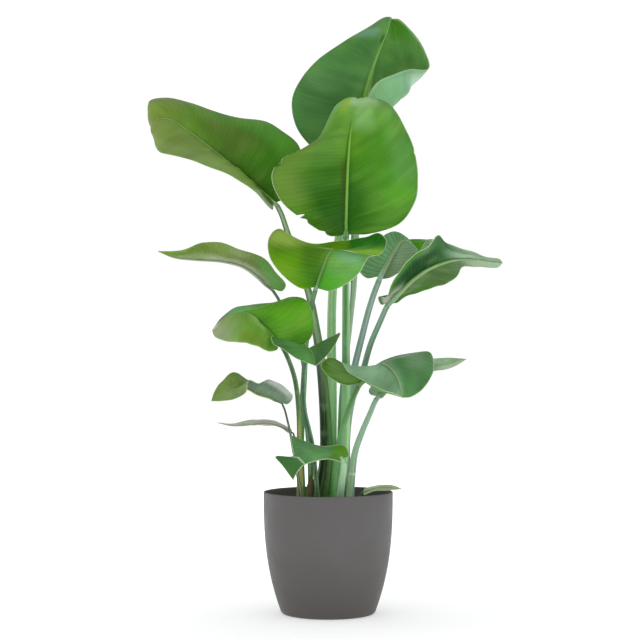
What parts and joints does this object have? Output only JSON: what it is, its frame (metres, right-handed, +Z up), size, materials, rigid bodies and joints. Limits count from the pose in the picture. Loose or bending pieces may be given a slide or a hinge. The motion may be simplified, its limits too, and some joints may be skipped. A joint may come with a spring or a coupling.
{
  "type": "potted bird of paradise plant",
  "caption": "Tall potted house plant: broad paddle leaves on long stalks, rising from soil in a round grey planter.",
  "frame": {"origin": "middle of the planter's underside, on the floor", "axes": "+Z up, -Y towards the front, +X to the right as seen from the front"},
  "size_m": [0.8296, 0.5944, 1.446],
  "materials": {
    "pot": "mid grey, matt, faintly grained",
    "soil": "loose dark potting soil, dry on top",
    "blade": "leathery green leaf, semi-gloss above, paler grey-green below",
    "stalk": "smooth grey-green leaf stalk with a waxy bloom",
    "spear": "smooth light green young leaf, still rolled",
    "sheath": "dry papery brown leaf sheath"
  },
  "bodies": {
    "root": {"pot": "pot", "soil": "soil", "leaf_01_stalk": "stalk", "leaf_01_blade": "blade", "leaf_02_stalk": "stalk", "leaf_02_blade": "blade", "leaf_03_stalk": "stalk", "leaf_03_blade": "blade", "leaf_04_stalk": "stalk", "leaf_04_blade": "blade", "leaf_05_stalk": "stalk", "leaf_05_blade": "blade", "leaf_06_stalk": "stalk", "leaf_06_blade": "blade", "leaf_07_stalk": "stalk", "leaf_07_blade": "blade", "leaf_08_stalk": "stalk", "leaf_08_blade": "blade", "leaf_09_stalk": "stalk", "leaf_09_blade": "blade", "leaf_10_stalk": "stalk", "leaf_10_blade": "blade", "leaf_11_stalk": "stalk", "leaf_11_blade": "blade", "leaf_12_stalk": "stalk", "leaf_12_blade": "blade", "leaf_13_stalk": "stalk", "leaf_13_blade": "blade", "leaf_14_stalk": "stalk", "leaf_14_blade": "blade", "leaf_15_stalk": "stalk", "leaf_15_blade": "blade", "spear_leaf": "spear", "dried_sheath_1": "sheath", "dried_sheath_2": "sheath"}
  },
  "joints": []
}
